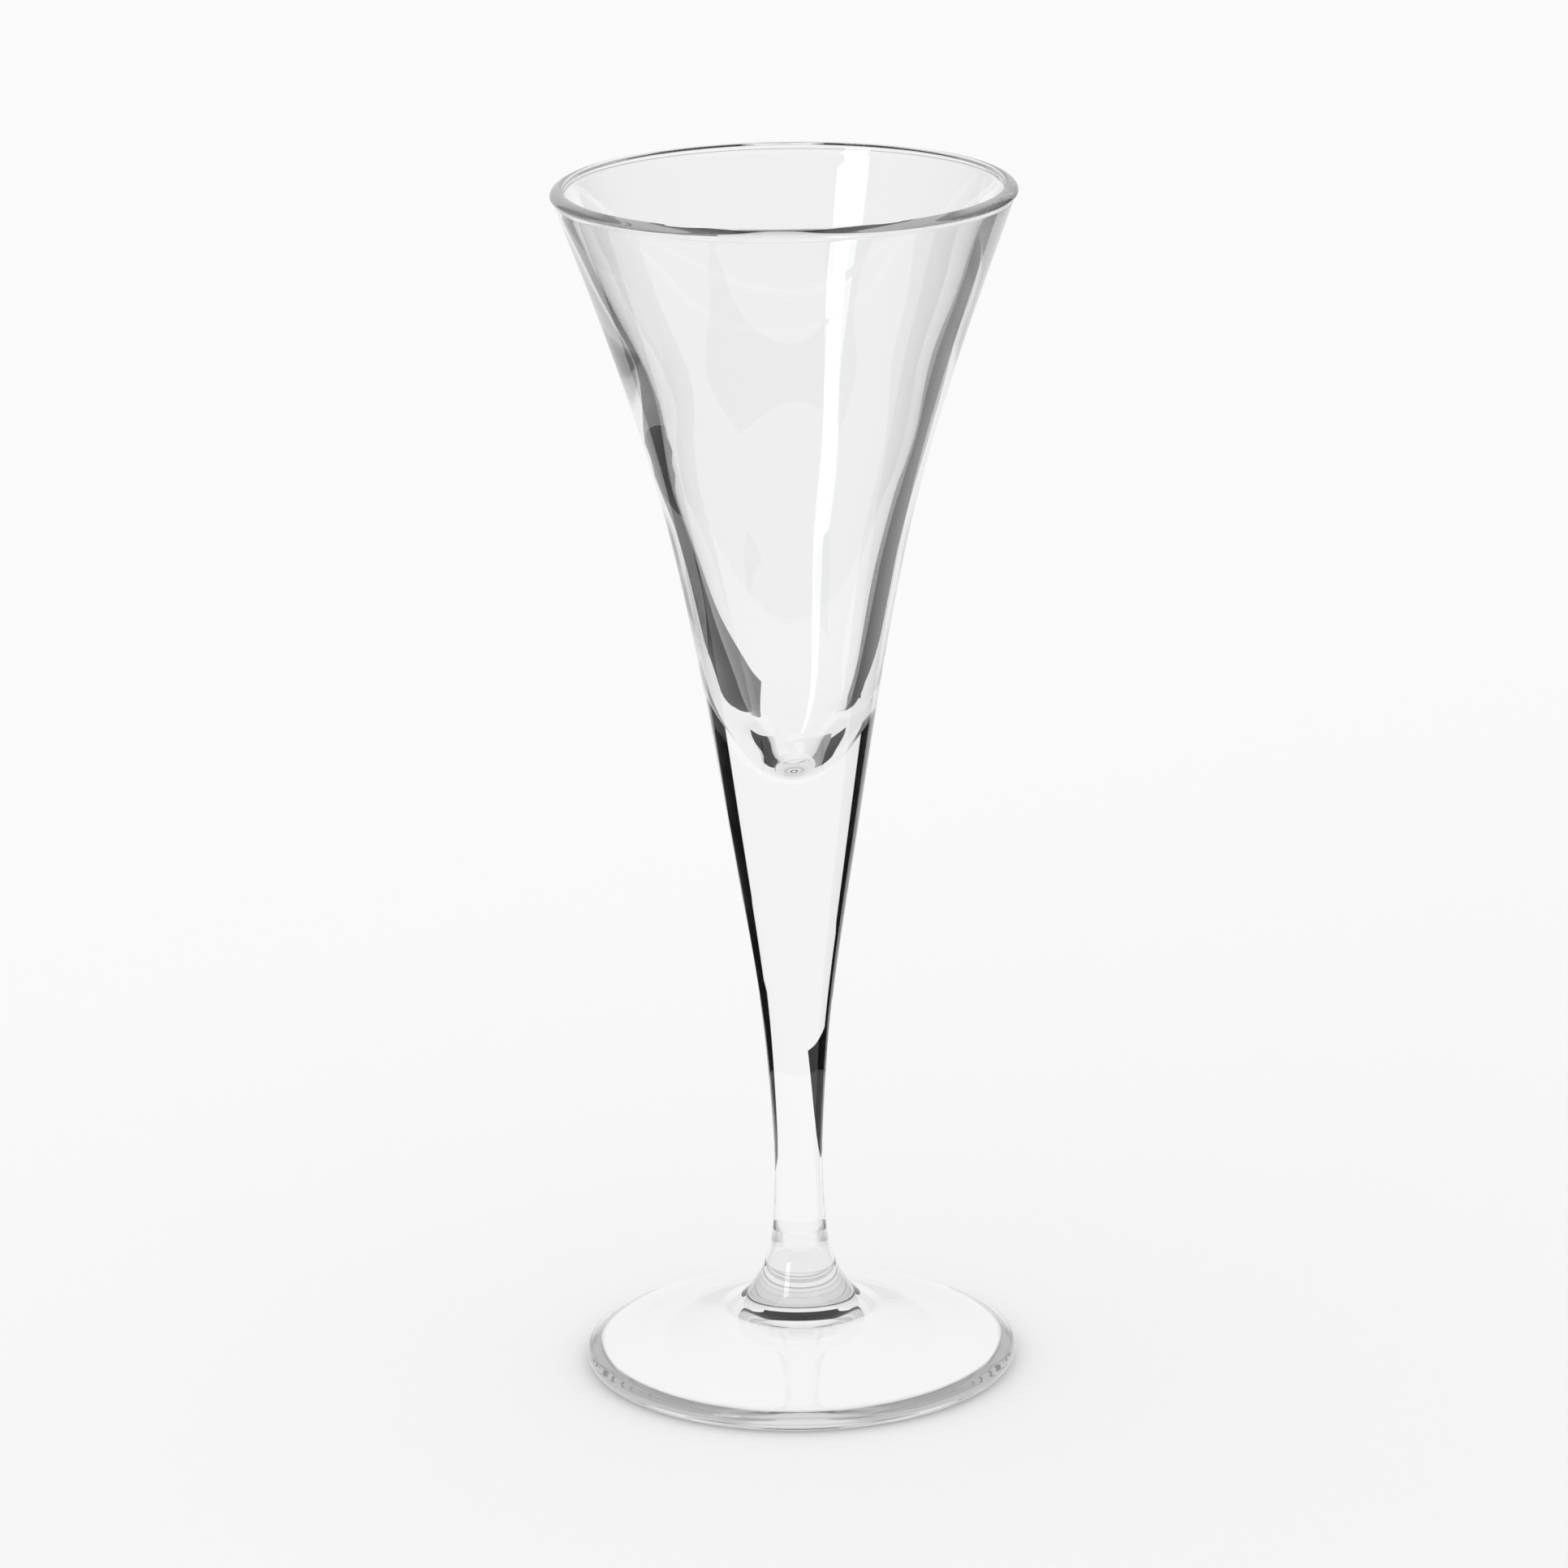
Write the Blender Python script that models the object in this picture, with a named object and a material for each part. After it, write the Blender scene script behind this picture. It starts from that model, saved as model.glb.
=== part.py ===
"""Stemmed schnapps glass: a bowl, a stem and a foot of clear glass, fused end to end.

Metres, +Z up. The origin is on the table, under the middle of the foot.
Every piece is turned about the Z axis from a profile of (radius, height) points.
"""
from math import cos, hypot, radians, sin

import bpy
from mathutils import Vector
from mathutils.geometry import interpolate_bezier

# Driving dimensions
HEIGHT = 0.152
RIM_RADIUS = 0.02855
FOOT_RADIUS = 0.0273
CAVITY_FLOOR = 0.078       # height of the lowest point inside the bowl
BOWL_WELD = 0.088          # height of the seam between bowl and stem, on the outside
FOOT_WELD = 0.0175         # height of the seam between stem and foot, on the outside
WELD_GAP = 0.0003          # clearance kept between two fused pieces

# Lip, a flat oval swelling left by the flame, which droops outwards
LIP_HALF_LENGTH = 0.000885
LIP_HALF_THICKNESS = 0.00046
LIP_TILT = -31
LIP_INNER_ANGLE = 218
LIP_OUTER_ANGLE = -30

# Outline of bowl and stem, from under the lip down to the foot weld
BOWL_WELD_RADIUS = 0.0109
FOOT_WELD_RADIUS = 0.0034
BOWL_OUTSIDE = [(0.0281, 0.1503), (0.0230, 0.136), (0.01785, 0.120), (0.0152, 0.110), (0.0123, 0.096)]
STEM_OUTSIDE = [(0.0080, 0.070), (0.0056, 0.055), (0.00416, 0.044), (0.00338, 0.034), (0.00305, 0.026)]

# Inside of the bowl, from the floor of the cavity up to the lip
BOWL_INSIDE = [
    (0.0, CAVITY_FLOOR), (0.0027, 0.0793), (0.0047, 0.0824), (0.0065, 0.086), (0.0091, 0.095),
    (0.0129, 0.110), (0.0167, 0.125), (0.0212, 0.137), (0.0244, 0.145), (0.0267, 0.1508),
]

# Fused surfaces: the bowl's rounded nose in the stem's cup, the stem's domed end in the foot
NOSE_DEPTH = 0.0145
STEM_END_DEPTH = 0.0012

# Foot: a boss that flares into a domed disc with a rounded edge
FLARE = [(0.00362, 0.0160), (0.00462, 0.0126), (0.0061, 0.0099), (0.0080, 0.0078)]
FLARE_ROOT = (0.0110, 0.0069)
FOOT_CROWN = (0.0185, 0.0049)
FOOT_SHOULDER = (0.0255, 0.0029)
EDGE_RADIUS = 0.0013
EDGE_START_ANGLE = 65
EDGE_END_ANGLE = -90
RING_INNER_RADIUS = 0.0250  # inside of the flat ring that the glass stands on
HOLLOW_HEIGHT = 0.0045      # rise of the underside in the middle
HOLLOW_LEVELLING = 1.3      # above 1, the underside levels off towards the ring

# Fineness of the turned surfaces
SEGMENTS = 48
SPAN_POINTS = 3
WELD_POINTS = 6
LIP_POINTS = 23
EDGE_POINTS = 7
HOLLOW_POINTS = 9
MERGE_DISTANCE = 0.00001

GLASS_COLOUR = (0.96, 0.975, 0.97, 1.0)
GLASS_ROUGHNESS = 0.03
GLASS_INDEX = 1.52


def smooth_line(stations):
    """Points of a smooth curve through the stations, SPAN_POINTS for each span.

    Each span is a Bezier curve whose handles reach a third of its length.
    """
    knots = [Vector(station) for station in stations]
    last = len(knots) - 1
    lengths = [(after - before).length for before, after in zip(knots, knots[1:])]
    slopes = [(after - before) / length for before, after, length in zip(knots, knots[1:], lengths)]
    tangents = []
    for index in range(last + 1):
        before = max(index - 1, 0)
        after = min(index, last - 1)
        blend = slopes[before] * lengths[after] + slopes[after] * lengths[before]
        tangents.append(blend / (lengths[before] + lengths[after]))
    points = []
    for index in range(last):
        reach = lengths[index] / 3
        high_handle = knots[index] + tangents[index] * reach
        low_handle = knots[index + 1] - tangents[index + 1] * reach
        span = interpolate_bezier(knots[index], high_handle, low_handle, knots[index + 1], SPAN_POINTS + 1)
        points += [(point.x, point.y) for point in span[:-1]]
    points.append(tuple(stations[-1]))
    return points


def oval_line(centre, half_length, half_thickness, tilt, start_angle, end_angle, count):
    """Points of an arc of an oval about the centre, with its length tilted upwards. Angles in degrees."""
    turn = radians(tilt)
    points = []
    for step in range(count):
        angle = radians(start_angle + (end_angle - start_angle) * step / (count - 1))
        along = half_length * cos(angle)
        across = half_thickness * sin(angle)
        radius = centre[0] + along * cos(turn) - across * sin(turn)
        height = centre[1] + along * sin(turn) + across * cos(turn)
        points.append((radius, height))
    return points


def lip_line():
    """The lip, placed so that it just reaches the full radius and height of the glass."""
    turn = radians(LIP_TILT)
    reach = hypot(LIP_HALF_LENGTH * cos(turn), LIP_HALF_THICKNESS * sin(turn))
    rise = hypot(LIP_HALF_LENGTH * sin(turn), LIP_HALF_THICKNESS * cos(turn))
    centre = (RIM_RADIUS - reach, HEIGHT - rise)
    sizes = (LIP_HALF_LENGTH, LIP_HALF_THICKNESS)
    return oval_line(centre, *sizes, LIP_TILT, LIP_INNER_ANGLE, LIP_OUTER_ANGLE, LIP_POINTS)


def dished_line(rim_radius, rim_height, depth, count, levelling=1.0):
    """Points of a dish that dips by depth from the rim to the axis, or rises if depth is negative.

    The dish is a parabola, which a levelling above 1 brings to level at the rim.
    """
    points = []
    for step in range(count):
        radius = rim_radius * (1 - step / (count - 1))
        share = (1 - (radius / rim_radius) ** 2) ** levelling
        points.append((radius, rim_height - depth * share))
    return points


def bowl_and_stem_outside():
    """The outline above and below the bowl weld, as two lists that share the weld point."""
    weld = (BOWL_WELD_RADIUS, BOWL_WELD)
    line = smooth_line(BOWL_OUTSIDE + [weld] + STEM_OUTSIDE + [(FOOT_WELD_RADIUS, FOOT_WELD)])
    weld_index = len(BOWL_OUTSIDE) * SPAN_POINTS
    return line[:weld_index + 1], line[weld_index:]


def bowl_profile():
    """Up the inside of the cavity, over the lip, down the outside and round the nose."""
    outside, _ = bowl_and_stem_outside()
    nose = dished_line(BOWL_WELD_RADIUS, BOWL_WELD, NOSE_DEPTH, WELD_POINTS)
    return smooth_line(BOWL_INSIDE) + lip_line() + outside + nose[1:]


def stem_profile():
    """From the bottom of the cup up to its lip, down the outside and round the lower end."""
    cup = dished_line(BOWL_WELD_RADIUS, BOWL_WELD - WELD_GAP, NOSE_DEPTH, WELD_POINTS)
    _, outside = bowl_and_stem_outside()
    lower_end = dished_line(FOOT_WELD_RADIUS, FOOT_WELD, STEM_END_DEPTH, WELD_POINTS)
    return cup[::-1] + outside[1:] + lower_end[1:]


def foot_profile():
    """From the seat of the stem down the flared boss, over the dome and edge, and underneath."""
    seat_height = FOOT_WELD - WELD_GAP
    seat = dished_line(FOOT_WELD_RADIUS, seat_height, STEM_END_DEPTH, WELD_POINTS)
    top = smooth_line([seat[0]] + FLARE + [FLARE_ROOT, FOOT_CROWN, FOOT_SHOULDER])
    edge_axis = (FOOT_RADIUS - EDGE_RADIUS, EDGE_RADIUS)
    edge_sizes = (EDGE_RADIUS, EDGE_RADIUS)
    edge = oval_line(edge_axis, *edge_sizes, 0, EDGE_START_ANGLE, EDGE_END_ANGLE, EDGE_POINTS)
    hollow = dished_line(RING_INNER_RADIUS, 0.0, -HOLLOW_HEIGHT, HOLLOW_POINTS, HOLLOW_LEVELLING)
    return seat[::-1] + top[1:] + edge + hollow


def glass_material(name):
    """Clear, faintly green soda-lime glass."""
    material = bpy.data.materials.new(name)
    material.use_nodes = True
    shader = material.node_tree.nodes["Principled BSDF"]
    shader.inputs["Base Color"].default_value = GLASS_COLOUR
    shader.inputs["Roughness"].default_value = GLASS_ROUGHNESS
    shader.inputs["Metallic"].default_value = 0.0
    shader.inputs["Transmission Weight"].default_value = 1.0
    shader.inputs["IOR"].default_value = GLASS_INDEX
    return material


def turn_piece(name, profile, base_height, axis):
    """Turn a profile about the Z axis into a closed solid whose own origin is at base_height."""
    mesh = bpy.data.meshes.new(name)
    corners = [(radius, 0.0, height - base_height) for radius, height in profile]
    mesh.from_pydata(corners, [(index, index + 1) for index in range(len(corners) - 1)], [])
    piece = bpy.data.objects.new(name, mesh)
    bpy.context.scene.collection.objects.link(piece)
    piece.parent = axis
    piece.location.z = base_height
    turn = piece.modifiers.new("turn", "SCREW")
    turn.axis = "Z"
    turn.steps = SEGMENTS
    turn.render_steps = SEGMENTS
    turn.use_merge_vertices = True
    turn.merge_threshold = MERGE_DISTANCE
    turn.use_smooth_shade = True
    mesh.materials.append(glass_material(name + "_glass"))
    return piece


def main():
    for leftover in list(bpy.data.objects):
        bpy.data.objects.remove(leftover)
    axis = bpy.data.objects.new("glass_axis", None)
    bpy.context.scene.collection.objects.link(axis)
    turn_piece("bowl", bowl_profile(), BOWL_WELD, axis)
    turn_piece("stem", stem_profile(), FOOT_WELD, axis)
    turn_piece("foot", foot_profile(), 0.0, axis)


main()
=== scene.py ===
# %% [markdown]
# # A stemmed schnapps glass
# The construction of this glass is already fixed: a bowl, a stem and a foot, packed as a frame that this
# script doesn't move or resize. The lesson makes the fine glass surface that stands for those three pieces.
# The frame comes first, so that every size below can be compared with it.

# %% Load the frame
from math import atan, cos, pi, radians, sin

import bpy
import numpy as np
from mathutils import Euler, Matrix, Vector


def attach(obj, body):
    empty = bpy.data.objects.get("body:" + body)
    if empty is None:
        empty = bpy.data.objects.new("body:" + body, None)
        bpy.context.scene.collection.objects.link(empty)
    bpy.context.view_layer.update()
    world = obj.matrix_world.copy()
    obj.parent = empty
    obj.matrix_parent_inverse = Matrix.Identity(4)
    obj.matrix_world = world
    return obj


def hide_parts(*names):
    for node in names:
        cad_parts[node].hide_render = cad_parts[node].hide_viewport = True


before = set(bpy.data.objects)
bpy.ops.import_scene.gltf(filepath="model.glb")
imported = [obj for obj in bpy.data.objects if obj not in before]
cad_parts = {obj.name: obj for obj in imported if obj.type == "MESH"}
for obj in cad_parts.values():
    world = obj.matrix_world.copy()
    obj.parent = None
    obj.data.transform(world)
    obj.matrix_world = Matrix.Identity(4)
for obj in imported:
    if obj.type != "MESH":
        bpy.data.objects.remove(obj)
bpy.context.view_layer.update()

scene = bpy.context.scene

# %% [markdown]
# ## The camera
# A glass is drawn by what stands behind and beside it, so the camera is set before anything else is made.
# The photograph is a long-lens picture taken from a little above the rim. Its place comes from the two
# ellipses that the rim and the foot draw in the picture. The camera could aim with a constraint, but a
# written-out pitch, yaw and roll stay put when other views move the camera.

# %% Camera
PHOTO_PIXELS = 1932
FOCAL_PIXELS = 8450.1
SENSOR_WIDTH = 36.0           # millimetres
CAMERA_BEARING = radians(225)
CAMERA_REACH = 0.8210         # from the glass's axis, measured along the table
CAMERA_HEIGHT = 0.3153        # above the table
CAMERA_PITCH = radians(16.252)
CAMERA_ROLL = radians(-0.893)
AXIS_OFFSET_PIXELS = 11.5     # the axis stands this far right of the picture's middle

camera_data = bpy.data.cameras.new("photo_camera")
camera_data.sensor_width = SENSOR_WIDTH
camera_data.lens = FOCAL_PIXELS * SENSOR_WIDTH / PHOTO_PIXELS
camera = bpy.data.objects.new("photo_camera", camera_data)
scene.collection.objects.link(camera)
turn_to_axis = CAMERA_BEARING + atan(AXIS_OFFSET_PIXELS / FOCAL_PIXELS)
aim = Euler((pi / 2 - CAMERA_PITCH, 0.0, turn_to_axis)).to_matrix().to_4x4()
spot = Vector((CAMERA_REACH * sin(CAMERA_BEARING), -CAMERA_REACH * cos(CAMERA_BEARING), CAMERA_HEIGHT))
camera.matrix_world = Matrix.Translation(spot) @ aim @ Matrix.Rotation(CAMERA_ROLL, 4, "Z")
scene.camera = camera
print(f"camera: {camera_data.lens:.1f} mm lens, {1000 * spot.length:.0f} mm from the origin")

# %% [markdown]
# ## Profiles
# Every piece of a turned glass is one profile carried round the axis. Refraction shows the second
# derivative of a surface, so a profile of straight runs or of joined Bezier arcs would draw bright and
# dark rings that the real glass doesn't have. A cubic spline through a few stations bends without steps.
# A row of the profile is a small dictionary: its radius, its height and the marks that the lathe reads.

# %% Spline and arc helpers
MIRRORED_STATIONS = 3


def spline_line(stations, spacing, starts_on_axis=False):
    """Points about one spacing apart on a cubic spline through the stations.

    A line that starts on the axis is splined together with its mirror image, so that it crosses level.
    """
    mirror = stations[MIRRORED_STATIONS:0:-1] if starts_on_axis else []
    knots = np.array([(-radius, height) for radius, height in mirror] + list(stations))
    chords = np.hypot(*np.diff(knots, axis=0).T)
    along = np.append(0.0, np.cumsum(chords))
    slopes = np.diff(knots, axis=0) / chords[:, None]
    system = np.eye(len(knots))
    bends = np.zeros_like(knots)
    for index in range(1, len(knots) - 1):
        before, after = chords[index - 1], chords[index]
        system[index, index - 1:index + 2] = before, 2 * (before + after), after
        bends[index] = 6 * (slopes[index] - slopes[index - 1])
    curvatures = np.linalg.solve(system, bends)
    start = along[len(mirror)]
    count = max(2, round((along[-1] - start) / spacing) + 1)
    points = []
    for place in np.linspace(start, along[-1], count):
        span = min(np.searchsorted(along, place, side="right") - 1, len(chords) - 1)
        length = chords[span]
        ahead, behind = along[span + 1] - place, place - along[span]
        cubic = (curvatures[span] * ahead**3 + curvatures[span + 1] * behind**3) / (6 * length)
        low = knots[span] / length - curvatures[span] * length / 6
        high = knots[span + 1] / length - curvatures[span + 1] * length / 6
        points.append(tuple(cubic + low * ahead + high * behind))
    return points


def arc_line(centre, half_sizes, start_angle, end_angle, count, tilt=0.0):
    """Points of an elliptic arc about a centre (radius, height), tilted as a whole, angles in degrees."""
    turns = np.radians(np.linspace(start_angle, end_angle, count))
    lengthways = np.cos(turns) * half_sizes[0]
    upwards = np.sin(turns) * half_sizes[1]
    radii = centre[0] + lengthways * cos(radians(tilt)) - upwards * sin(radians(tilt))
    heights = centre[1] + lengthways * sin(radians(tilt)) + upwards * cos(radians(tilt))
    return list(zip(radii, heights))


def dish_line(rim_radius, rim_height, depth, count, levelling=1.0):
    """Points of a dish that dips by depth from the rim to the axis, or rises if depth is negative.

    The dish is a parabola, which a levelling above 1 brings to level at the rim.
    """
    radii = np.linspace(rim_radius, 0.0, count)
    heights = rim_height - depth * (1 - (radii / rim_radius) ** 2) ** levelling
    return list(zip(radii, heights))


def rows(points, **marks):
    """Profile rows for the points, each with the same marks."""
    return [{"radius": radius, "height": height, **marks} for radius, height in points]


# %% [markdown]
# ## The lathe
# A Screw modifier could turn these profiles, but real glass isn't perfectly round: the cavity stands a
# little off the axis at some heights, the surface drifts by hundredths of a millimetre, and the foot
# stands on fine ribs. A Geometry Nodes tree does the turning and all of that at once. A grid gets one
# column for each step round the axis and one row for each point of the profile, and every grid point is
# moved to its place. Marks on the profile say where the tree shifts, ribs, creases or changes material.

# %% Node helper
MARKS = ("shift", "rib", "weld", "crease")


def add_node(tree, kind, inputs=None, **settings):
    """A new node with its settings, and its inputs linked to sockets or set to values."""
    made = tree.nodes.new(kind)
    for name, value in settings.items():
        setattr(made, name, value)
    for socket, value in (inputs or {}).items():
        if isinstance(value, bpy.types.NodeSocket):
            tree.links.new(value, made.inputs[socket])
        else:
            made.inputs[socket].default_value = value
    return made


def calculate(tree, operation, *values):
    """The output of a Math node."""
    return add_node(tree, "ShaderNodeMath", dict(enumerate(values)), operation=operation).outputs[0]


# %% The lathe's inputs
lathe = bpy.data.node_groups.new("glass_lathe", "GeometryNodeTree")
LATHE_INPUTS = {
    "Profile": "NodeSocketGeometry", "Segments": "NodeSocketInt", "Shift Bearing": "NodeSocketFloat",
    "Drift": "NodeSocketFloat", "Drift Size": "NodeSocketFloat", "Ribs": "NodeSocketInt",
    "Rib Depth": "NodeSocketFloat", "Glass": "NodeSocketMaterial", "Weld": "NodeSocketMaterial",
}
lathe_keys = {}
for label, kind in LATHE_INPUTS.items():
    lathe_keys[label] = lathe.interface.new_socket(label, in_out="INPUT", socket_type=kind).identifier
lathe.interface.new_socket("Turned", in_out="OUTPUT", socket_type="NodeSocketGeometry")
given = lathe.nodes.new("NodeGroupInput").outputs
print("lathe inputs:", ", ".join(LATHE_INPUTS))

# %% Column, row and angle of each grid point
row_count = add_node(lathe, "GeometryNodeAttributeDomainSize", {0: given["Profile"]}).outputs["Point Count"]
column_count = calculate(lathe, "ADD", given["Segments"], 1)
grid_sizes = {"Vertices X": column_count, "Vertices Y": row_count}
grid = add_node(lathe, "GeometryNodeMeshGrid", grid_sizes).outputs["Mesh"]
grid_index = lathe.nodes.new("GeometryNodeInputIndex").outputs[0]
column = calculate(lathe, "FLOOR", calculate(lathe, "DIVIDE", grid_index, row_count))
row = calculate(lathe, "SUBTRACT", grid_index, calculate(lathe, "MULTIPLY", column, row_count))
angle = calculate(lathe, "MULTIPLY", column, calculate(lathe, "DIVIDE", 2 * pi, given["Segments"]))
cosine = calculate(lathe, "COSINE", angle)
sine = calculate(lathe, "SINE", angle)


def from_profile(value, data_type):
    """The value that the profile holds at this grid point's row."""
    sampled = {"Geometry": given["Profile"], "Value": value, "Index": row}
    return add_node(lathe, "GeometryNodeSampleIndex", sampled, data_type=data_type).outputs[0]


profile_place = from_profile(lathe.nodes.new("GeometryNodeInputPosition").outputs[0], "FLOAT_VECTOR")
profile_axes = add_node(lathe, "ShaderNodeSeparateXYZ", {0: profile_place}).outputs
marked = {}
for mark in MARKS:
    attribute = add_node(lathe, "GeometryNodeInputNamedAttribute", {"Name": mark}).outputs["Attribute"]
    marked[mark] = from_profile(attribute, "FLOAT")
print("the lathe reads these marks:", ", ".join(MARKS))

# %% Shift of the cavity, drift of the surface and ribs of the foot
AXIS_CALM = 0.003             # the drift fades out within this radius, so that poles stay closed

turned_radius = profile_axes["X"]
round_place = {
    "X": calculate(lathe, "MULTIPLY", turned_radius, cosine),
    "Y": calculate(lathe, "MULTIPLY", turned_radius, sine),
    "Z": profile_axes["Z"],
}
drift_place = add_node(lathe, "ShaderNodeCombineXYZ", round_place).outputs[0]
drift_scale = calculate(lathe, "DIVIDE", 1.0, given["Drift Size"])
drift_inputs = {"Vector": drift_place, "Scale": drift_scale, "Detail": 0.0}
drift_noise = add_node(lathe, "ShaderNodeTexNoise", drift_inputs).outputs[0]
calm = calculate(lathe, "MINIMUM", calculate(lathe, "DIVIDE", turned_radius, AXIS_CALM), 1.0)
full_drift = calculate(lathe, "MULTIPLY", drift_noise, given["Drift"])
drift = calculate(lathe, "MULTIPLY", full_drift, calm)
facing = calculate(lathe, "COSINE", calculate(lathe, "SUBTRACT", angle, given["Shift Bearing"]))
shift = calculate(lathe, "MULTIPLY", marked["shift"], facing)
turned_radius = calculate(lathe, "SUBTRACT", calculate(lathe, "ADD", turned_radius, shift), drift)
rib_wave = calculate(lathe, "COSINE", calculate(lathe, "MULTIPLY", angle, given["Ribs"]))
rib_share = calculate(lathe, "MULTIPLY_ADD", rib_wave, -0.5, 0.5)    # the wave, brought to 0 to 1
full_rib = calculate(lathe, "MULTIPLY", rib_share, given["Rib Depth"])
rib_rise = calculate(lathe, "MULTIPLY", full_rib, marked["rib"])
turned_place = {
    "X": calculate(lathe, "MULTIPLY", turned_radius, cosine),
    "Y": calculate(lathe, "MULTIPLY", turned_radius, sine),
    "Z": calculate(lathe, "ADD", profile_axes["Z"], rib_rise),
}
place = add_node(lathe, "ShaderNodeCombineXYZ", turned_place).outputs[0]
print("the lathe shifts, drifts and ribs:", len(lathe.nodes), "nodes so far")

# %% Wrap the grid, close its seam and set its materials
MERGE_DISTANCE = 1e-7
ALL_CORNERS = 0.99            # a face or edge has a mark if all of its corners have it

wrapped = grid
for mark in ("weld", "crease"):
    stored = {"Geometry": wrapped, "Name": mark, "Value": marked[mark]}
    wrapped = add_node(lathe, "GeometryNodeStoreNamedAttribute", stored, data_type="FLOAT").outputs[0]
wrapped = add_node(lathe, "GeometryNodeSetPosition", {"Geometry": wrapped, "Position": place}).outputs[0]
seam_points = {"Geometry": wrapped, "Distance": MERGE_DISTANCE}
wrapped = add_node(lathe, "GeometryNodeMergeByDistance", seam_points).outputs[0]


def where_marked(mark):
    """A selection of the faces or edges whose corners all have the mark."""
    attribute = add_node(lathe, "GeometryNodeInputNamedAttribute", {"Name": mark}).outputs["Attribute"]
    return calculate(lathe, "GREATER_THAN", attribute, ALL_CORNERS)


wrapped = add_node(lathe, "GeometryNodeFlipFaces", {0: wrapped}).outputs[0]
smooth_faces = {0: wrapped, "Shade Smooth": True}
wrapped = add_node(lathe, "GeometryNodeSetShadeSmooth", smooth_faces, domain="FACE").outputs[0]
hard_edges = {0: wrapped, "Selection": where_marked("crease"), "Shade Smooth": False}
wrapped = add_node(lathe, "GeometryNodeSetShadeSmooth", hard_edges, domain="EDGE").outputs[0]
wrapped = add_node(lathe, "GeometryNodeRealizeInstances", {0: wrapped}).outputs[0]
wrapped = add_node(lathe, "GeometryNodeSetMaterial", {0: wrapped, "Material": given["Glass"]}).outputs[0]
fused_faces = {0: wrapped, "Selection": where_marked("weld"), "Material": given["Weld"]}
wrapped = add_node(lathe, "GeometryNodeSetMaterial", fused_faces).outputs[0]
add_node(lathe, "NodeGroupOutput", {0: wrapped})
print("lathe tree:", len(lathe.nodes), "nodes")

# %% [markdown]
# ## Clear glass
# The glass is clean, clear and almost colourless. Glass has no colour of its own to paint: what shows is
# the room behind it, bent. So the shader is a Principled one with full transmission and the index of
# soda-lime glass, and the detail is in small departures from perfect: a trace of tint that wanders, a
# roughness that stays close to zero but isn't the same all over, and a very faint waviness of the skin.
# Where two pieces are fused there is no surface left. Those faces still close each mesh, so they get a
# weld finish that is fully clear. Light passes it without bending and does not count it as a surface.

# %% Material helpers
def noise_on_object(tree, size, detail):
    """Noise of about the given size in metres, in Object coordinates."""
    place = add_node(tree, "ShaderNodeTexCoord").outputs["Object"]
    inputs = {"Vector": place, "Scale": 1 / size, "Detail": detail}
    return add_node(tree, "ShaderNodeTexNoise", inputs).outputs[0]


def new_material(name):
    """A material, its node tree and its Principled shader."""
    material = bpy.data.materials.new(name)
    material.use_nodes = True
    return material, material.node_tree, material.node_tree.nodes["Principled BSDF"]


# %% Polished glass
GLASS_INDEX = 1.52
CLEAREST_TINT = (0.990, 0.992, 0.991, 1.0)
DEEPEST_TINT = (0.978, 0.984, 0.981, 1.0)
TINT_SIZE = 0.030
TINT_DETAIL = 1.0
POLISHED_ROUGHNESS = 0.0
HANDLED_ROUGHNESS = 0.012
HANDLING_SIZE = 0.012
HANDLING_DETAIL = 3.0
SKIN_WAVE_SIZE = 0.004
SKIN_WAVE_DETAIL = 2.0
SKIN_WAVE_HEIGHT = 0.0001
SKIN_WAVE_STRENGTH = 0.02

clear_glass, glass_tree, glass_shader = new_material("polished_glass")
glass_shader.inputs["IOR"].default_value = GLASS_INDEX
glass_shader.inputs["Transmission Weight"].default_value = 1.0
# A Mix node has one set of sockets for each kind of data: its colours are inputs 6 and 7 and output 2.
tint_noise = noise_on_object(glass_tree, TINT_SIZE, TINT_DETAIL)
tint_inputs = {0: tint_noise, 6: CLEAREST_TINT, 7: DEEPEST_TINT}
tint = add_node(glass_tree, "ShaderNodeMix", tint_inputs, data_type="RGBA")
glass_tree.links.new(tint.outputs[2], glass_shader.inputs["Base Color"])
handling = noise_on_object(glass_tree, HANDLING_SIZE, HANDLING_DETAIL)
handling_range = {"Value": handling, "To Min": POLISHED_ROUGHNESS, "To Max": HANDLED_ROUGHNESS}
roughness = add_node(glass_tree, "ShaderNodeMapRange", handling_range)
glass_tree.links.new(roughness.outputs[0], glass_shader.inputs["Roughness"])
skin_inputs = {
    "Strength": SKIN_WAVE_STRENGTH, "Distance": SKIN_WAVE_HEIGHT,
    "Height": noise_on_object(glass_tree, SKIN_WAVE_SIZE, SKIN_WAVE_DETAIL),
}
skin = add_node(glass_tree, "ShaderNodeBump", skin_inputs)
glass_tree.links.new(skin.outputs[0], glass_shader.inputs["Normal"])
print("glass:", clear_glass.name, "with", len(glass_tree.nodes), "nodes, index", GLASS_INDEX)

# %% Fused weld
fused_weld, _, weld_shader = new_material("fused_weld")
weld_shader.inputs["Base Color"].default_value = (1.0, 1.0, 1.0, 1.0)
weld_shader.inputs["Roughness"].default_value = 0.0
weld_shader.inputs["IOR"].default_value = 1.0
weld_shader.inputs["Transmission Weight"].default_value = 1.0
weld_shader.inputs["Alpha"].default_value = 0.0
print("weld:", fused_weld.name)

# %% [markdown]
# ## Turning a piece
# Each piece starts as a bare line of points, its profile, with the marks stored on them as attributes. The
# lathe could stay on the piece as a live modifier, but the export wants plain meshes. So the turned result
# is taken from the evaluated object, and the modifier is removed. The modifier's inputs are set by their
# identifiers, before the object is first evaluated.

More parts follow.
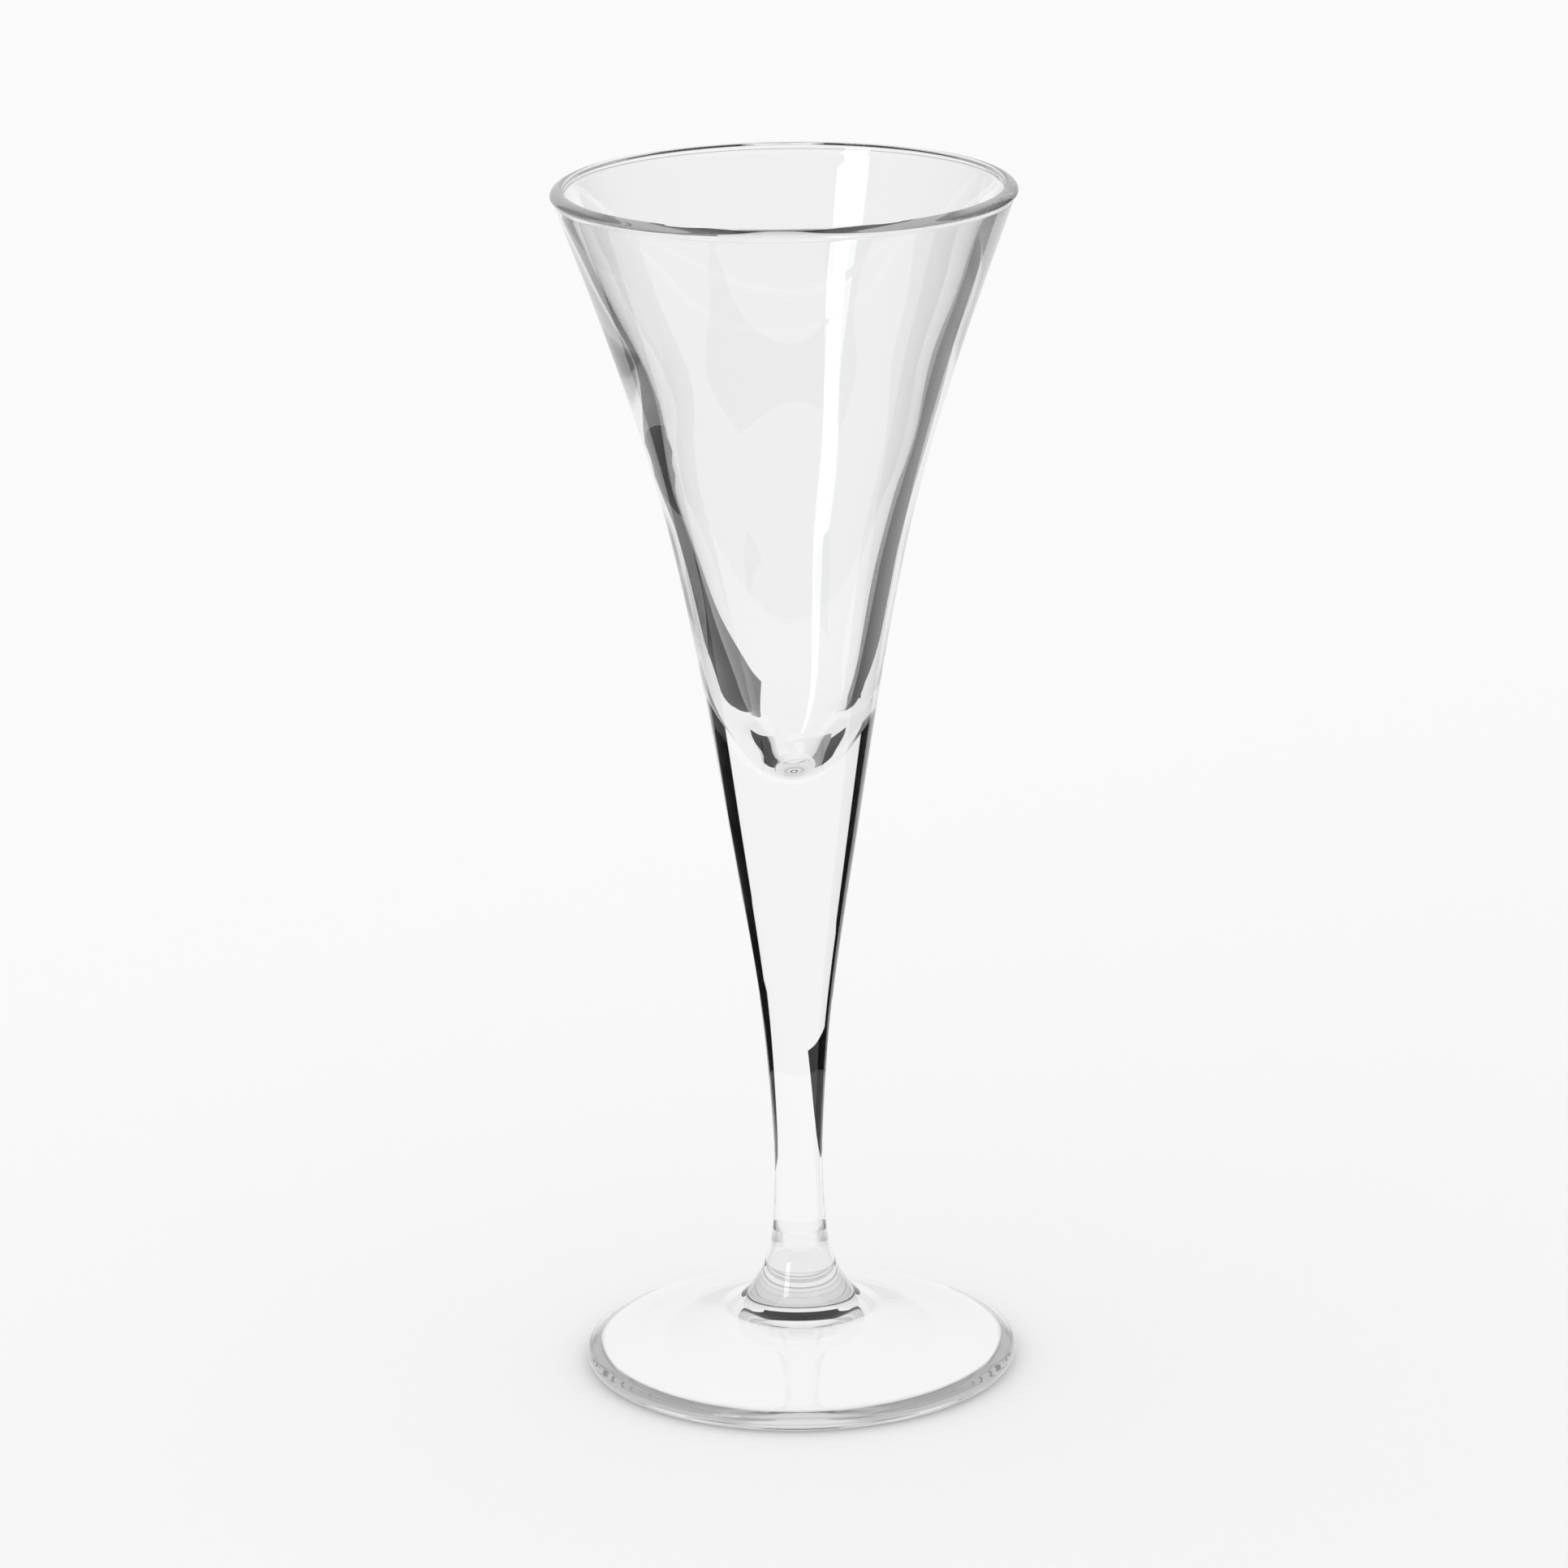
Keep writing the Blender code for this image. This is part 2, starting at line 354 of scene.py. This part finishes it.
# %% Turn a piece
SHIFT_BEARING = radians(45)   # the cavity leans this way, to the left in the photograph
SURFACE_DRIFT = 0.00003
DRIFT_SIZE = 0.010


def turn_piece(name, profile, segments, **extra):
    """Turn the profile rows on the lathe and leave a plain mesh at the origin."""
    blank_mesh = bpy.data.meshes.new(name)
    corners = [(point["radius"], 0.0, point["height"]) for point in profile]
    blank_mesh.from_pydata(corners, [(index, index + 1) for index in range(len(corners) - 1)], [])
    for mark in MARKS:
        values = blank_mesh.attributes.new(mark, "FLOAT", "POINT").data
        values.foreach_set("value", [point.get(mark, 0.0) for point in profile])
    piece = bpy.data.objects.new(name, blank_mesh)
    scene.collection.objects.link(piece)
    spindle = piece.modifiers.new("lathe", "NODES")
    spindle.node_group = lathe
    settings = {
        "Segments": segments, "Shift Bearing": SHIFT_BEARING, "Drift": SURFACE_DRIFT,
        "Drift Size": DRIFT_SIZE, "Glass": clear_glass, "Weld": fused_weld, **extra,
    }
    for label, value in settings.items():
        spindle[lathe_keys[label]] = value
    evaluated = piece.evaluated_get(bpy.context.evaluated_depsgraph_get())
    turned = bpy.data.meshes.new_from_object(evaluated)
    turned.materials.pop(index=0)    # the grid's own slot, which is empty
    piece.modifiers.remove(spindle)
    piece.data = turned
    triangles = sum(len(face.vertices) - 2 for face in turned.polygons)
    fused = sum(face.material_index for face in turned.polygons)
    print(f"{name}: {len(profile)} rows, {triangles} triangles, {fused} fused faces")
    return piece


# %% [markdown]
# ## The bowl
# The bowl is a narrow cone that opens towards a fire-polished lip, a flat oval that droops outwards. Its
# wall thickens downwards into a heavy bottom, which is what throws the dark and bright lines at its
# edges. The cavity could be a smaller copy of the outside, but such a wall would be too even, so it has
# its own stations. The outline was measured from the photograph's silhouette, and the inside from where
# total reflection begins.

# %% Welds and outline that the pieces share
BOWL_WELD = (0.0109, 0.088)
FOOT_WELD = (0.0034, 0.0175)
NOSE_DEPTH = 0.0145
STEM_END_DEPTH = 0.0012
WELD_ROWS = 14
BOWL_OUTSIDE = [(0.0281, 0.1503), (0.0230, 0.136), (0.01785, 0.120), (0.0152, 0.110), (0.0123, 0.096)]
STEM_OUTSIDE = [(0.0080, 0.070), (0.0056, 0.055), (0.00416, 0.044), (0.00338, 0.034), (0.00305, 0.026)]
ROW_SPACING = 0.0008

outline = spline_line(BOWL_OUTSIDE + [BOWL_WELD] + STEM_OUTSIDE + [FOOT_WELD], ROW_SPACING)
bowl_outline = [point for point in outline if point[1] > BOWL_WELD[1] + ROW_SPACING / 2]
stem_outline = [point for point in outline[:-1] if point[1] < BOWL_WELD[1] - ROW_SPACING / 2]
nose_line = dish_line(*BOWL_WELD, NOSE_DEPTH, WELD_ROWS)
print(f"outline: {len(bowl_outline)} rows on the bowl, {len(stem_outline)} on the stem")

# %% Cavity of the bowl
BOWL_INSIDE = [
    (0.0, 0.0780), (0.0027, 0.0793), (0.0047, 0.0824), (0.0065, 0.0860), (0.0078, 0.0900), (0.00912, 0.0950),
    (0.01155, 0.1050), (0.01415, 0.1150), (0.01666, 0.1250), (0.0184, 0.1300), (0.0212, 0.1370),
    (0.02436, 0.1450), (0.0269, 0.1513),
]
CAVITY_SHIFTS = [    # sideways shift and height
    (0.0, 0.078), (-0.0004, 0.084), (-0.00017, 0.096), (0.0001, 0.108), (0.00009, 0.114), (-0.0002, 0.123),
    (0.00003, 0.132), (0.00027, 0.141), (0.00015, 0.1485), (0.0, 0.151),
]

shift_line = np.array(spline_line(CAVITY_SHIFTS, ROW_SPACING))


def cavity_shift(height):
    """How far the cavity stands off the axis at this height."""
    return np.interp(height, shift_line[:, 1], shift_line[:, 0])


cavity = rows(spline_line(BOWL_INSIDE, ROW_SPACING, starts_on_axis=True)[:-1])
for row_of_cavity in cavity:
    row_of_cavity["shift"] = cavity_shift(row_of_cavity["height"])
widest_shift = max(abs(row_of_cavity["shift"]) for row_of_cavity in cavity)
print(f"cavity: {len(cavity)} rows, shifted by up to {1000 * widest_shift:.2f} mm")

# %% Lip and bowl
HEIGHT = 0.152
RIM_RADIUS = 0.02855
LIP_HALF_LENGTH = 0.000885
LIP_HALF_THICKNESS = 0.00046
LIP_TILT = -31
LIP_INNER_ANGLE = 218
LIP_OUTER_ANGLE = -30
LIP_ROWS = 40
ROUND_SEGMENTS = 256

lip_sizes = np.array((LIP_HALF_LENGTH, LIP_HALF_THICKNESS))
lip_reach = np.hypot(*(lip_sizes * (cos(radians(LIP_TILT)), sin(radians(LIP_TILT)))))
lip_rise = np.hypot(*(lip_sizes * (sin(radians(LIP_TILT)), cos(radians(LIP_TILT)))))
lip_centre = (RIM_RADIUS - lip_reach, HEIGHT - lip_rise)
lip = rows(arc_line(lip_centre, lip_sizes, LIP_INNER_ANGLE, LIP_OUTER_ANGLE, LIP_ROWS, LIP_TILT))
seam = rows([BOWL_WELD], weld=1.0, crease=1.0)
nose = rows(nose_line[1:], weld=1.0)
bowl = turn_piece("bowl_glass", cavity + lip + rows(bowl_outline) + seam + nose, ROUND_SEGMENTS)

# %% [markdown]
# ## The stem
# The stem is a solid rod, drawn out hot until it is thinnest just above the foot. Its cup is fused to
# the nose of the bowl. It could be one mesh with the bowl, but the frame has them as separate pieces, so
# each is closed by its own weld faces. The stem has the same seam circles as its neighbours, so no line
# shows where they meet.

# %% Stem
cup = rows(nose_line[:0:-1], weld=1.0)
stem_end = rows(dish_line(*FOOT_WELD, STEM_END_DEPTH, WELD_ROWS)[1:], weld=1.0)
foot_seam = rows([FOOT_WELD], weld=1.0, crease=1.0)
stem = turn_piece("stem_glass", cup + seam + rows(stem_outline) + foot_seam + stem_end, ROUND_SEGMENTS)

# %% [markdown]
# ## The foot
# The foot is a shallow dome round a flared boss. Its edge is rounded, and it stands on a narrow ring of
# fine ribs, which keep a pressed foot from scratching the table. The underside is hollow, and how deep
# it is decides where the dark mark under the boss falls. The ribs repeat several hundred times. Cutting
# each of them would be slow, so the lathe raises them from one wave round the ring.

# %% Foot
FLARE = [(0.00362, 0.0160), (0.00462, 0.0126), (0.0061, 0.0099), (0.0080, 0.0078)]
FLARE_ROOT = (0.0110, 0.0069)
FOOT_RADIUS = 0.0273
FOOT_CROWN = (0.0185, 0.0049)
FOOT_SHOULDER = (0.0255, 0.0029)
EDGE_RADIUS = 0.0013
EDGE_START_ANGLE = 65
EDGE_END_ANGLE = -90
RING_INNER_RADIUS = 0.0250
HOLLOW_HEIGHT = 0.0045
HOLLOW_LEVELLING = 1.3
RIBS = 480
RIB_DEPTH = 0.00015
EDGE_ROWS = 12
RING_ROWS = 6
HOLLOW_ROWS = 32

seat = rows(dish_line(*FOOT_WELD, STEM_END_DEPTH, WELD_ROWS)[:0:-1], weld=1.0)
dome = spline_line([FOOT_WELD] + FLARE + [FLARE_ROOT, FOOT_CROWN, FOOT_SHOULDER], ROW_SPACING)[1:]
edge_centre = (FOOT_RADIUS - EDGE_RADIUS, EDGE_RADIUS)
edge_sizes = (EDGE_RADIUS, EDGE_RADIUS)
edge = arc_line(edge_centre, edge_sizes, EDGE_START_ANGLE, EDGE_END_ANGLE, EDGE_ROWS)
ring_radii = np.linspace(edge_centre[0], RING_INNER_RADIUS, RING_ROWS)[1:-1]
ring = rows([(radius, 0.0) for radius in ring_radii], rib=1.0)
hollow = rows(dish_line(RING_INNER_RADIUS, 0.0, -HOLLOW_HEIGHT, HOLLOW_ROWS, HOLLOW_LEVELLING))
foot_profile = seat + foot_seam + rows(dome + edge[1:]) + ring + hollow
foot = turn_piece("foot_glass", foot_profile, 2 * RIBS, **{"Ribs": RIBS, "Rib Depth": RIB_DEPTH})

# %% [markdown]
# ## The table and the light
# A clear glass on a pale table is lit by its surroundings. One even white world does all the lighting,
# and the table is matt and pale, so a colour renders about as it is written. The world shows itself at
# the table's own brightness wherever the camera sees it, straight, mirrored or through the glass, which
# joins it to the table without a horizon line. Some views are mirrored dozens of times inside the wall
# before they get out, and lose light on the way. An absorbing volume could do that, but one strong
# enough for them would also darken the thick stem. Here table and world give off less light the more
# often a view has been mirrored.

# %% Stage helpers
TURN_SHARE = 0.93             # light that is left after each mirrored turn inside the glass
LEAST_SHARE = 0.18            # fading stops here
LONG_TURNS = 32               # views with more turns than this fade less
LONG_SHARE = 0.45             # light that is left to those at least
SQUARE = [(-1, -1), (1, -1), (1, 1), (-1, 1)]


def stage_sheet(name, corners, material):
    """A flat sheet that isn't part of the glass, in the camera's bearing: X to its right, Y away from it."""
    mesh = bpy.data.meshes.new(name)
    mesh.from_pydata(corners, [], [list(range(len(corners)))])
    mesh.materials.append(material)
    sheet = bpy.data.objects.new(name, mesh)
    sheet.rotation_euler.z = CAMERA_BEARING
    scene.collection.objects.link(sheet)
    return sheet


def share_after_turns(tree, turns):
    """Share of the light that is left after a number of mirrored turns."""
    fading = calculate(tree, "POWER", TURN_SHARE, turns)
    is_long = calculate(tree, "GREATER_THAN", turns, LONG_TURNS)
    least = calculate(tree, "MULTIPLY_ADD", is_long, LONG_SHARE - LEAST_SHARE, LEAST_SHARE)
    return calculate(tree, "MAXIMUM", fading, least)


# %% Table
TABLE_BRIGHT = 0.960
TABLE_DIM = 0.925
TABLE_SPAN = 0.25             # half of the distance over which the painted fall of light changes the table's tone
TABLE_SIZE = 16.0
TABLE_DROP = 0.00002          # keeps the table's top and the foot's ring from lying in one plane
GRAIN_SIZE = 0.0006
GRAIN_DETAIL = 2.0
GRAIN_SHARE = 0.01

table_paper, table_tree, table_shader = new_material("table_paper")
table_shader.inputs["Roughness"].default_value = 1.0
table_shader.inputs["Specular IOR Level"].default_value = 0.0
table_place = add_node(table_tree, "ShaderNodeTexCoord").outputs["Object"]
table_axes = add_node(table_tree, "ShaderNodeSeparateXYZ", {0: table_place}).outputs
# Painted fall of light: the table's tone is painted brighter away from the camera and towards its left, and
# it shows so both straight and in the glass. The grain is the paper's own.
tone_range = {
    "Value": calculate(table_tree, "SUBTRACT", table_axes["Y"], table_axes["X"]),
    "From Min": -TABLE_SPAN, "From Max": TABLE_SPAN, "To Min": TABLE_DIM, "To Max": TABLE_BRIGHT,
}
painted_falloff_tone = add_node(table_tree, "ShaderNodeMapRange", tone_range).outputs[0]
grain_noise = noise_on_object(table_tree, GRAIN_SIZE, GRAIN_DETAIL)
grain = calculate(table_tree, "MULTIPLY_ADD", grain_noise, GRAIN_SHARE, -GRAIN_SHARE / 2)
tone = calculate(table_tree, "ADD", painted_falloff_tone, grain)
table_tree.links.new(tone, table_shader.inputs["Base Color"])
table_ray = add_node(table_tree, "ShaderNodeLightPath").outputs
through_glass = calculate(table_tree, "MAXIMUM", table_ray["Is Glossy Ray"], table_ray["Is Transmission Ray"])
turned_share = share_after_turns(table_tree, table_ray["Glossy Depth"])
table_glow = add_node(table_tree, "ShaderNodeEmission", {"Color": tone, "Strength": turned_share}).outputs[0]
table_mix = {0: through_glass, 1: table_shader.outputs[0], 2: table_glow}
table_surface = add_node(table_tree, "ShaderNodeMixShader", table_mix).outputs[0]
table_tree.links.new(table_surface, table_tree.nodes["Material Output"].inputs["Surface"])
table_corners = [(x * TABLE_SIZE / 2, y * TABLE_SIZE / 2, -TABLE_DROP) for x, y in SQUARE]
stage_sheet("table", table_corners, table_paper)
print(f"table: {TABLE_SIZE:.0f} m square, tones {TABLE_DIM} to {TABLE_BRIGHT}")

# %% World
WORLD_SHOWN = 0.945           # brightness that the camera sees, while 1 lights the scene

world = bpy.data.worlds.new("white_room")
world.use_nodes = True
scene.world = world
ray = add_node(world.node_tree, "ShaderNodeLightPath").outputs
shown = calculate(world.node_tree, "MAXIMUM", ray["Is Camera Ray"], ray["Is Glossy Ray"])
shown = calculate(world.node_tree, "MAXIMUM", shown, ray["Is Transmission Ray"])
shown_strength = share_after_turns(world.node_tree, ray["Glossy Depth"])
shown_change = calculate(world.node_tree, "MULTIPLY_ADD", shown_strength, WORLD_SHOWN, -1.0)
strength = calculate(world.node_tree, "MULTIPLY_ADD", shown, shown_change, 1.0)
background = world.node_tree.nodes["Background"]
background.inputs["Color"].default_value = (1.0, 1.0, 1.0, 1.0)
world.node_tree.links.new(strength, background.inputs["Strength"])
print("world:", world.name, "shown at", WORLD_SHOWN)

# %% [markdown]
# ## Black cards
# Against white, a clear glass has no edge. A photographer sets black cards beside it: the steep edges of
# the glass bend the view sideways, so each edge picks up a card and draws a dark line. But one spot on
# the table shows in several places of the glass, so a card that is right for the stem may be wrong for
# the bowl. Here each card is dark for some kinds of view and clear for all others. A kind is told by how
# often a view has been mirrored and how many surfaces it has crossed. A view through the solid stem
# crosses two, and one through both walls of the bowl crosses four. At the edge of the bowl, a view goes
# into the wall, is mirrored once on the cavity and comes out again. In the nose it is mirrored twice.
# The outlines are drawn round the places where such views from the camera meet the table. No card is
# seen straight, lights the table or casts a shadow, so the table itself stays pale.

# %% Card helpers
CARD_LIFT = 0.0002            # step in height, so that cards that overlap don't lie in one plane
MATCH_WIDTH = 0.5             # counts match if they differ by no more than this


def glass_only(sheet):
    """Let a sheet be seen in and through the glass, but not straight, on the table or as a shadow."""
    sheet.visible_camera = False
    sheet.visible_diffuse = False
    sheet.visible_shadow = False


def seen_by(tree, views):
    """1 for the given kinds of view, and 0 for all others.

    Each kind is a pair: how often it has been mirrored, and how many surfaces it has crossed, or None
    for any number of them.
    """
    path = add_node(tree, "ShaderNodeLightPath").outputs
    seen = 0.0
    for turns, crossings in views:
        match = calculate(tree, "COMPARE", path["Glossy Depth"], turns, MATCH_WIDTH)
        if crossings is not None:
            crossed = calculate(tree, "COMPARE", path["Transmission Depth"], crossings, MATCH_WIDTH)
            match = calculate(tree, "MULTIPLY", match, crossed)
        seen = calculate(tree, "MAXIMUM", seen, match)
    return seen


def clear_elsewhere(tree, seen, shader):
    """Finish a material that shows the shader where it is seen, and is clear elsewhere."""
    clear = add_node(tree, "ShaderNodeBsdfTransparent").outputs[0]
    surface = add_node(tree, "ShaderNodeMixShader", {0: seen, 1: clear, 2: shader}).outputs[0]
    tree.links.new(surface, tree.nodes["Material Output"].inputs["Surface"])


def set_card(name, corners, tones, views, farther=0.0):
    """A dull card from a near to a far tone, for the given kinds of view from farther than a distance."""
    paper, tree, shader = new_material(name)
    shader.inputs["Specular IOR Level"].default_value = 0.0
    place = add_node(tree, "ShaderNodeTexCoord").outputs["Object"]
    reach = [corner[1] for corner in corners]
    shade_range = {
        "Value": add_node(tree, "ShaderNodeSeparateXYZ", {0: place}).outputs["Y"],
        "From Min": min(reach), "From Max": max(reach) + CARD_LIFT, "To Min": tones[0], "To Max": tones[1],
    }
    shade = add_node(tree, "ShaderNodeMapRange", shade_range).outputs[0]
    tree.links.new(shade, shader.inputs["Base Color"])
    length = add_node(tree, "ShaderNodeLightPath").outputs["Ray Length"]
    is_far = calculate(tree, "GREATER_THAN", length, farther)
    seen = calculate(tree, "MULTIPLY", seen_by(tree, views), is_far)
    clear_elsewhere(tree, seen, shader.outputs[0])
    glass_only(stage_sheet(name, corners, paper))


# %% Lying cards
STEM_TONES = (0.004, 0.004)
BLACK_TONES = (0.0, 0.0)
STEM_VIEWS = [(0, 2), (1, 0)]     # straight through, or mirrored on the outside
BOWL_VIEWS = [(0, 4)]             # through both walls
WALL_VIEWS = [(1, 2)]             # mirrored once inside the glass
NOSE_VIEWS = [(2, 2), (2, 4)]     # mirrored twice
LYING_CARDS = {
    "stem_left": {
        "plan": [
            (-0.045, 0.178), (-0.062, 0.100), (-0.066, 0.040), (-0.085, 0.022), (-0.300, 0.098),
            (-0.600, 0.200), (-0.600, 0.530), (-0.300, 0.275), (-0.190, 0.182),
        ],
        "tones": STEM_TONES, "views": STEM_VIEWS,
    },
    "stem_right": {
        "plan": [
            (0.058, -0.005), (0.600, -0.005), (0.600, 0.640), (0.300, 0.325), (0.230, 0.290), (0.062, 0.050),
        ],
        "tones": STEM_TONES, "views": STEM_VIEWS,
    },
    "bowl_left": {
        "plan": [
            (-0.042, 0.175), (-0.047, 0.090), (-0.055, 0.030), (-0.400, 0.020), (-0.400, 0.550),
            (-0.235, 0.550), (-0.225, 0.400), (-0.170, 0.270), (-0.120, 0.190), (-0.060, 0.180),
        ],
        "tones": (0.10, 0.27), "views": BOWL_VIEWS,
    },
    "bowl_right": {
        "plan": [
            (0.050, 0.0), (0.300, 0.0), (0.300, 0.330), (0.140, 0.300), (0.110, 0.170), (0.065, 0.120),
        ],
        "tones": (0.0, 0.36), "views": BOWL_VIEWS,
    },
    "wall_left_near": {
        "plan": [
            (-0.040, 0.165), (-0.057, 0.105), (-0.063, 0.080), (-0.066, 0.020), (-0.110, 0.0),
            (-0.190, 0.0), (-0.190, 0.115), (-0.130, 0.115), (-0.085, 0.145),
        ],
        "tones": BLACK_TONES, "views": WALL_VIEWS,
    },
    "wall_left": {
        "plan": [
            (-0.040, 0.175), (-0.040, 0.165), (-0.085, 0.145), (-0.130, 0.115), (-0.190, 0.115),
            (-0.190, 0.330), (-0.215, 0.600), (-0.225, 0.800), (-0.215, 0.800), (-0.205, 0.620),
            (-0.145, 0.340), (-0.112, 0.240), (-0.085, 0.195),
        ],
        "tones": (0.14, 0.20), "views": WALL_VIEWS,
    },
    "wall_left_far": {
        "plan": [
            (-0.190, 0.0), (-0.600, 0.0), (-0.600, 0.800), (-0.225, 0.800), (-0.215, 0.600), (-0.190, 0.330),
        ],
        "tones": BLACK_TONES, "views": WALL_VIEWS,
    },
    "wall_right": {
        "plan": [
            (0.060, 0.0), (0.400, 0.0), (0.400, 0.420), (0.150, 0.380), (0.105, 0.270), (0.092, 0.225),
            (0.100, 0.120), (0.072, 0.060),
        ],
        "tones": (0.0, 0.45), "views": WALL_VIEWS,
    },
    "nose_left": {
        "plan": [(-0.105, -0.018), (-0.055, -0.018), (-0.055, 0.022), (-0.105, 0.022)],
        "tones": BLACK_TONES, "views": NOSE_VIEWS,
    },
    "nose_middle": {
        "plan": [(-0.055, -0.015), (0.030, -0.015), (0.030, 0.030), (-0.055, 0.030)],
        "tones": (0.28, 0.28), "views": NOSE_VIEWS,
    },
    "nose_right": {
        "plan": [(0.030, -0.005), (0.105, -0.005), (0.105, 0.040), (0.030, 0.040)],
        "tones": BLACK_TONES, "views": NOSE_VIEWS,
    },
}

for number, (name, card) in enumerate(LYING_CARDS.items(), 1):
    corners = [(*corner, number * CARD_LIFT) for corner in card["plan"]]
    set_card(name, corners, card["tones"], card["views"])
print("lying cards:", ", ".join(LYING_CARDS))

# %% [markdown]
# ## Cards on the other side, at the ends and behind the boss
# Seen from the other side, the stem would have no dark edges, so two plain cards lie there as well. Some
# views leave the stem so nearly level that they pass over the lying cards, so a card stands at the outer
# end on each side. One small card close behind the boss makes the black lens-shaped mark under it. The
# views that find it go into the foot, are mirrored once inside and come out behind the boss. A painted
# mark would stay in place when the camera moves, but a real one wanders, as this one does.

# %% Opposite, standing and boss cards
OPPOSITE_PLAN = [(0.058, 0.005), (0.600, 0.005), (0.600, -0.375), (0.062, -0.050)]
OPPOSITE_VIEWS = [(0, 2)]
STANDING_CARDS = {"left": (-0.600, -0.050, 0.575), "right": (0.600, 0.220, 0.660)}
STANDING_HEIGHT = 0.130
BOSS_CARD_AWAY = 0.009
BOSS_CARD_REACH = 0.0018
BOSS_CARD_HEIGHTS = (0.0094, 0.0185)

for name, side in {"left": -1, "right": 1}.items():
    corners = [(side * across, away, CARD_LIFT) for across, away in OPPOSITE_PLAN]
    set_card(f"opposite_{name}", corners, STEM_TONES, OPPOSITE_VIEWS)


def upright(start, end, heights):
    """Corners of a sheet that stands on the line from start to end, between two heights."""
    low, high = heights
    return [(*start, low), (*end, low), (*end, high), (*start, high)]


for name, (across, near, away) in STANDING_CARDS.items():
    corners = upright((across, near), (across, away), (0.0, STANDING_HEIGHT))
    set_card(f"{name}_standing", corners, STEM_TONES, STEM_VIEWS)
boss_ends = [(-BOSS_CARD_REACH, BOSS_CARD_AWAY), (BOSS_CARD_REACH, BOSS_CARD_AWAY)]
set_card("boss_card", upright(*boss_ends, BOSS_CARD_HEIGHTS), BLACK_TONES, WALL_VIEWS)
print("standing cards:", ", ".join(STANDING_CARDS), "and one behind the boss")

# %% [markdown]
# ## The rim's dark lines
# The lip is a narrow rounded band, which mirrors the whole room on a thin line. Dark lines there could be
# painted on, but they would not follow the camera. So a dark cloth hangs on three sides of the set, like
# a tent that is open behind the glass, and a dark sheet lies under the glass for views that come down
# from the rim. Both are dark only for views that have been mirrored once.

# %% Rim sheet and tent
MIRRORED_ONCE = [(1, None)]
RIM_SHEET_REACH = 0.100
RIM_SHEET_TONES = (0.01, 0.01)
RIM_SHEET_DISTANCE = 0.148    # views from nearer find the sheet clear
TENT_PLAN = [(-1.5, 2.2), (-1.5, -1.5), (1.5, -1.5), (1.5, 2.2)]
TENT_HEIGHT = 1.6
TENT_TONES = (0.02, 0.02)

rim_corners = [(x * RIM_SHEET_REACH, y * RIM_SHEET_REACH, -TABLE_DROP / 2) for x, y in SQUARE]
set_card("rim_sheet", rim_corners, RIM_SHEET_TONES, MIRRORED_ONCE, RIM_SHEET_DISTANCE)
for number, (start, end) in enumerate(zip(TENT_PLAN, TENT_PLAN[1:])):
    set_card(f"tent_{number}", upright(start, end, (0.0, TENT_HEIGHT)), TENT_TONES, MIRRORED_ONCE)
print("rim sheet and", len(TENT_PLAN) - 1, "tent walls set")

# %% [markdown]
# ## Strip light
# One tall soft strip stands at the camera's left. It shows as the white upright streak in the bowl and
# on the boss of the foot. An area lamp would light the table too. This is a glowing sheet that only
# views which have been mirrored once can find, so it shows in the glass and doesn't light the table.

# %% Strip light
STRIP_BEARING = radians(41)   # left of the line from the glass to the camera
STRIP_HALF_WIDTH = radians(7)
STRIP_REACH = 0.60
STRIP_HEIGHTS = (0.15, 0.55)
STRIP_BRIGHTNESS = 4.0

strip_glow, strip_tree, _ = new_material("strip_glow")
strip_glow.cycles.emission_sampling = "NONE"
glow = add_node(strip_tree, "ShaderNodeEmission", {"Strength": STRIP_BRIGHTNESS}).outputs[0]
clear_elsewhere(strip_tree, seen_by(strip_tree, MIRRORED_ONCE), glow)
strip_ends = []
for bearing in (STRIP_BEARING + STRIP_HALF_WIDTH, STRIP_BEARING - STRIP_HALF_WIDTH):
    strip_ends.append((-STRIP_REACH * sin(bearing), -STRIP_REACH * cos(bearing)))
strip = stage_sheet("strip_light", upright(*strip_ends, STRIP_HEIGHTS), strip_glow)
glass_only(strip)
print("strip light:", strip.name, "from", STRIP_HEIGHTS[0], "to", STRIP_HEIGHTS[1], "m")

# %% [markdown]
# ## Light paths and pieces
# Light passes many surfaces on its way through a glass, so the paths may be long. Then each glass piece rides
# on the frame's one body and stands for its frame node.

# %% Light paths and colour
LIGHT_PATH_LENGTH = 96

scene.cycles.max_bounces = LIGHT_PATH_LENGTH
scene.cycles.transmission_bounces = LIGHT_PATH_LENGTH
scene.cycles.glossy_bounces = LIGHT_PATH_LENGTH
scene.cycles.transparent_max_bounces = LIGHT_PATH_LENGTH
scene.view_settings.view_transform = "Standard"
print("light paths of up to", LIGHT_PATH_LENGTH, "surfaces")

# %% Pieces on the frame's body
for piece, node in ((bowl, "bowl"), (stem, "stem"), (foot, "foot")):
    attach(piece, "root")
    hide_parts(node)
